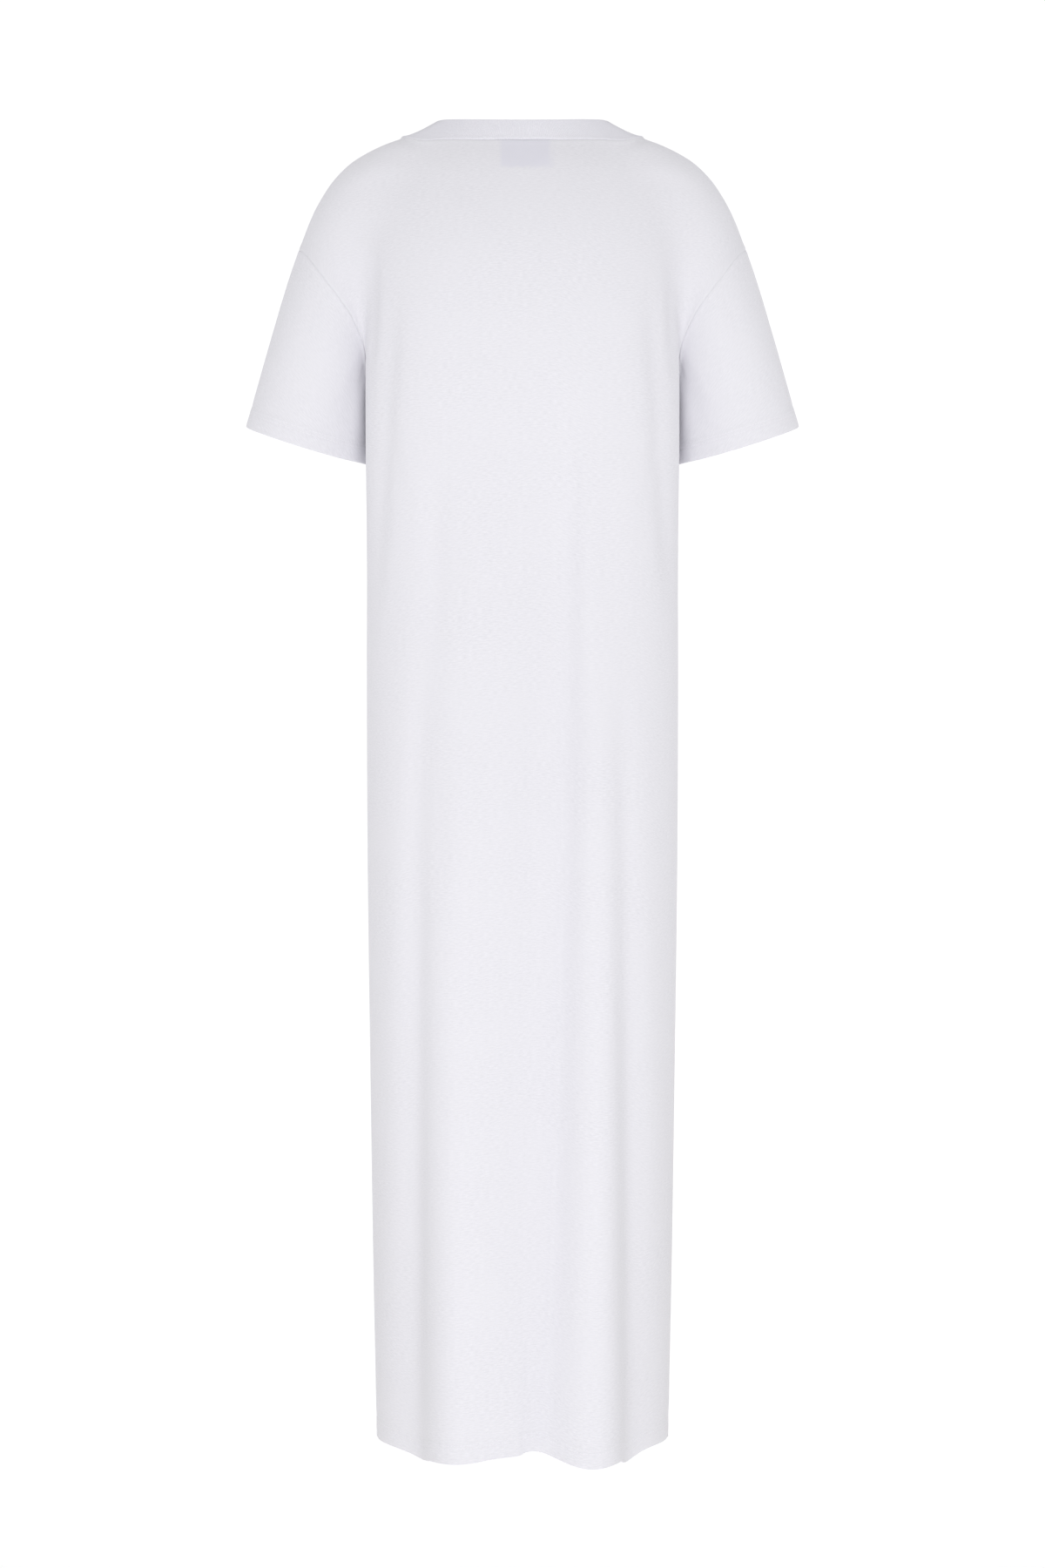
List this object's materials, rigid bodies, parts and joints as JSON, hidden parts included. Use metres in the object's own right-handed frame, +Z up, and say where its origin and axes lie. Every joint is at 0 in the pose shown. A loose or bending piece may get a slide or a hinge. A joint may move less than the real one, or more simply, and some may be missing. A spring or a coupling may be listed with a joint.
{
  "type": "long T-shirt dress",
  "caption": "Long straight T-shirt dress in plain jersey, with a ribbed round neck and short dropped sleeves, filled out as worn.",
  "frame": {"origin": "between the two neck points, where the shoulder seams meet the neckband: the wearer's shoulders hold the dress there", "axes": "+Z up, +Y the way the wearer faces, +X towards the wearer's right"},
  "size_m": [0.5742, 0.2637, 1.3683],
  "materials": {
    "jersey": "matte",
    "rib": "matte",
    "label": "satin"
  },
  "bodies": {
    "root": {"back_panel": "jersey", "front_panel": "jersey", "right_sleeve": "jersey", "left_sleeve": "jersey", "neckband": "rib", "neck_label": "label"}
  },
  "joints": []
}
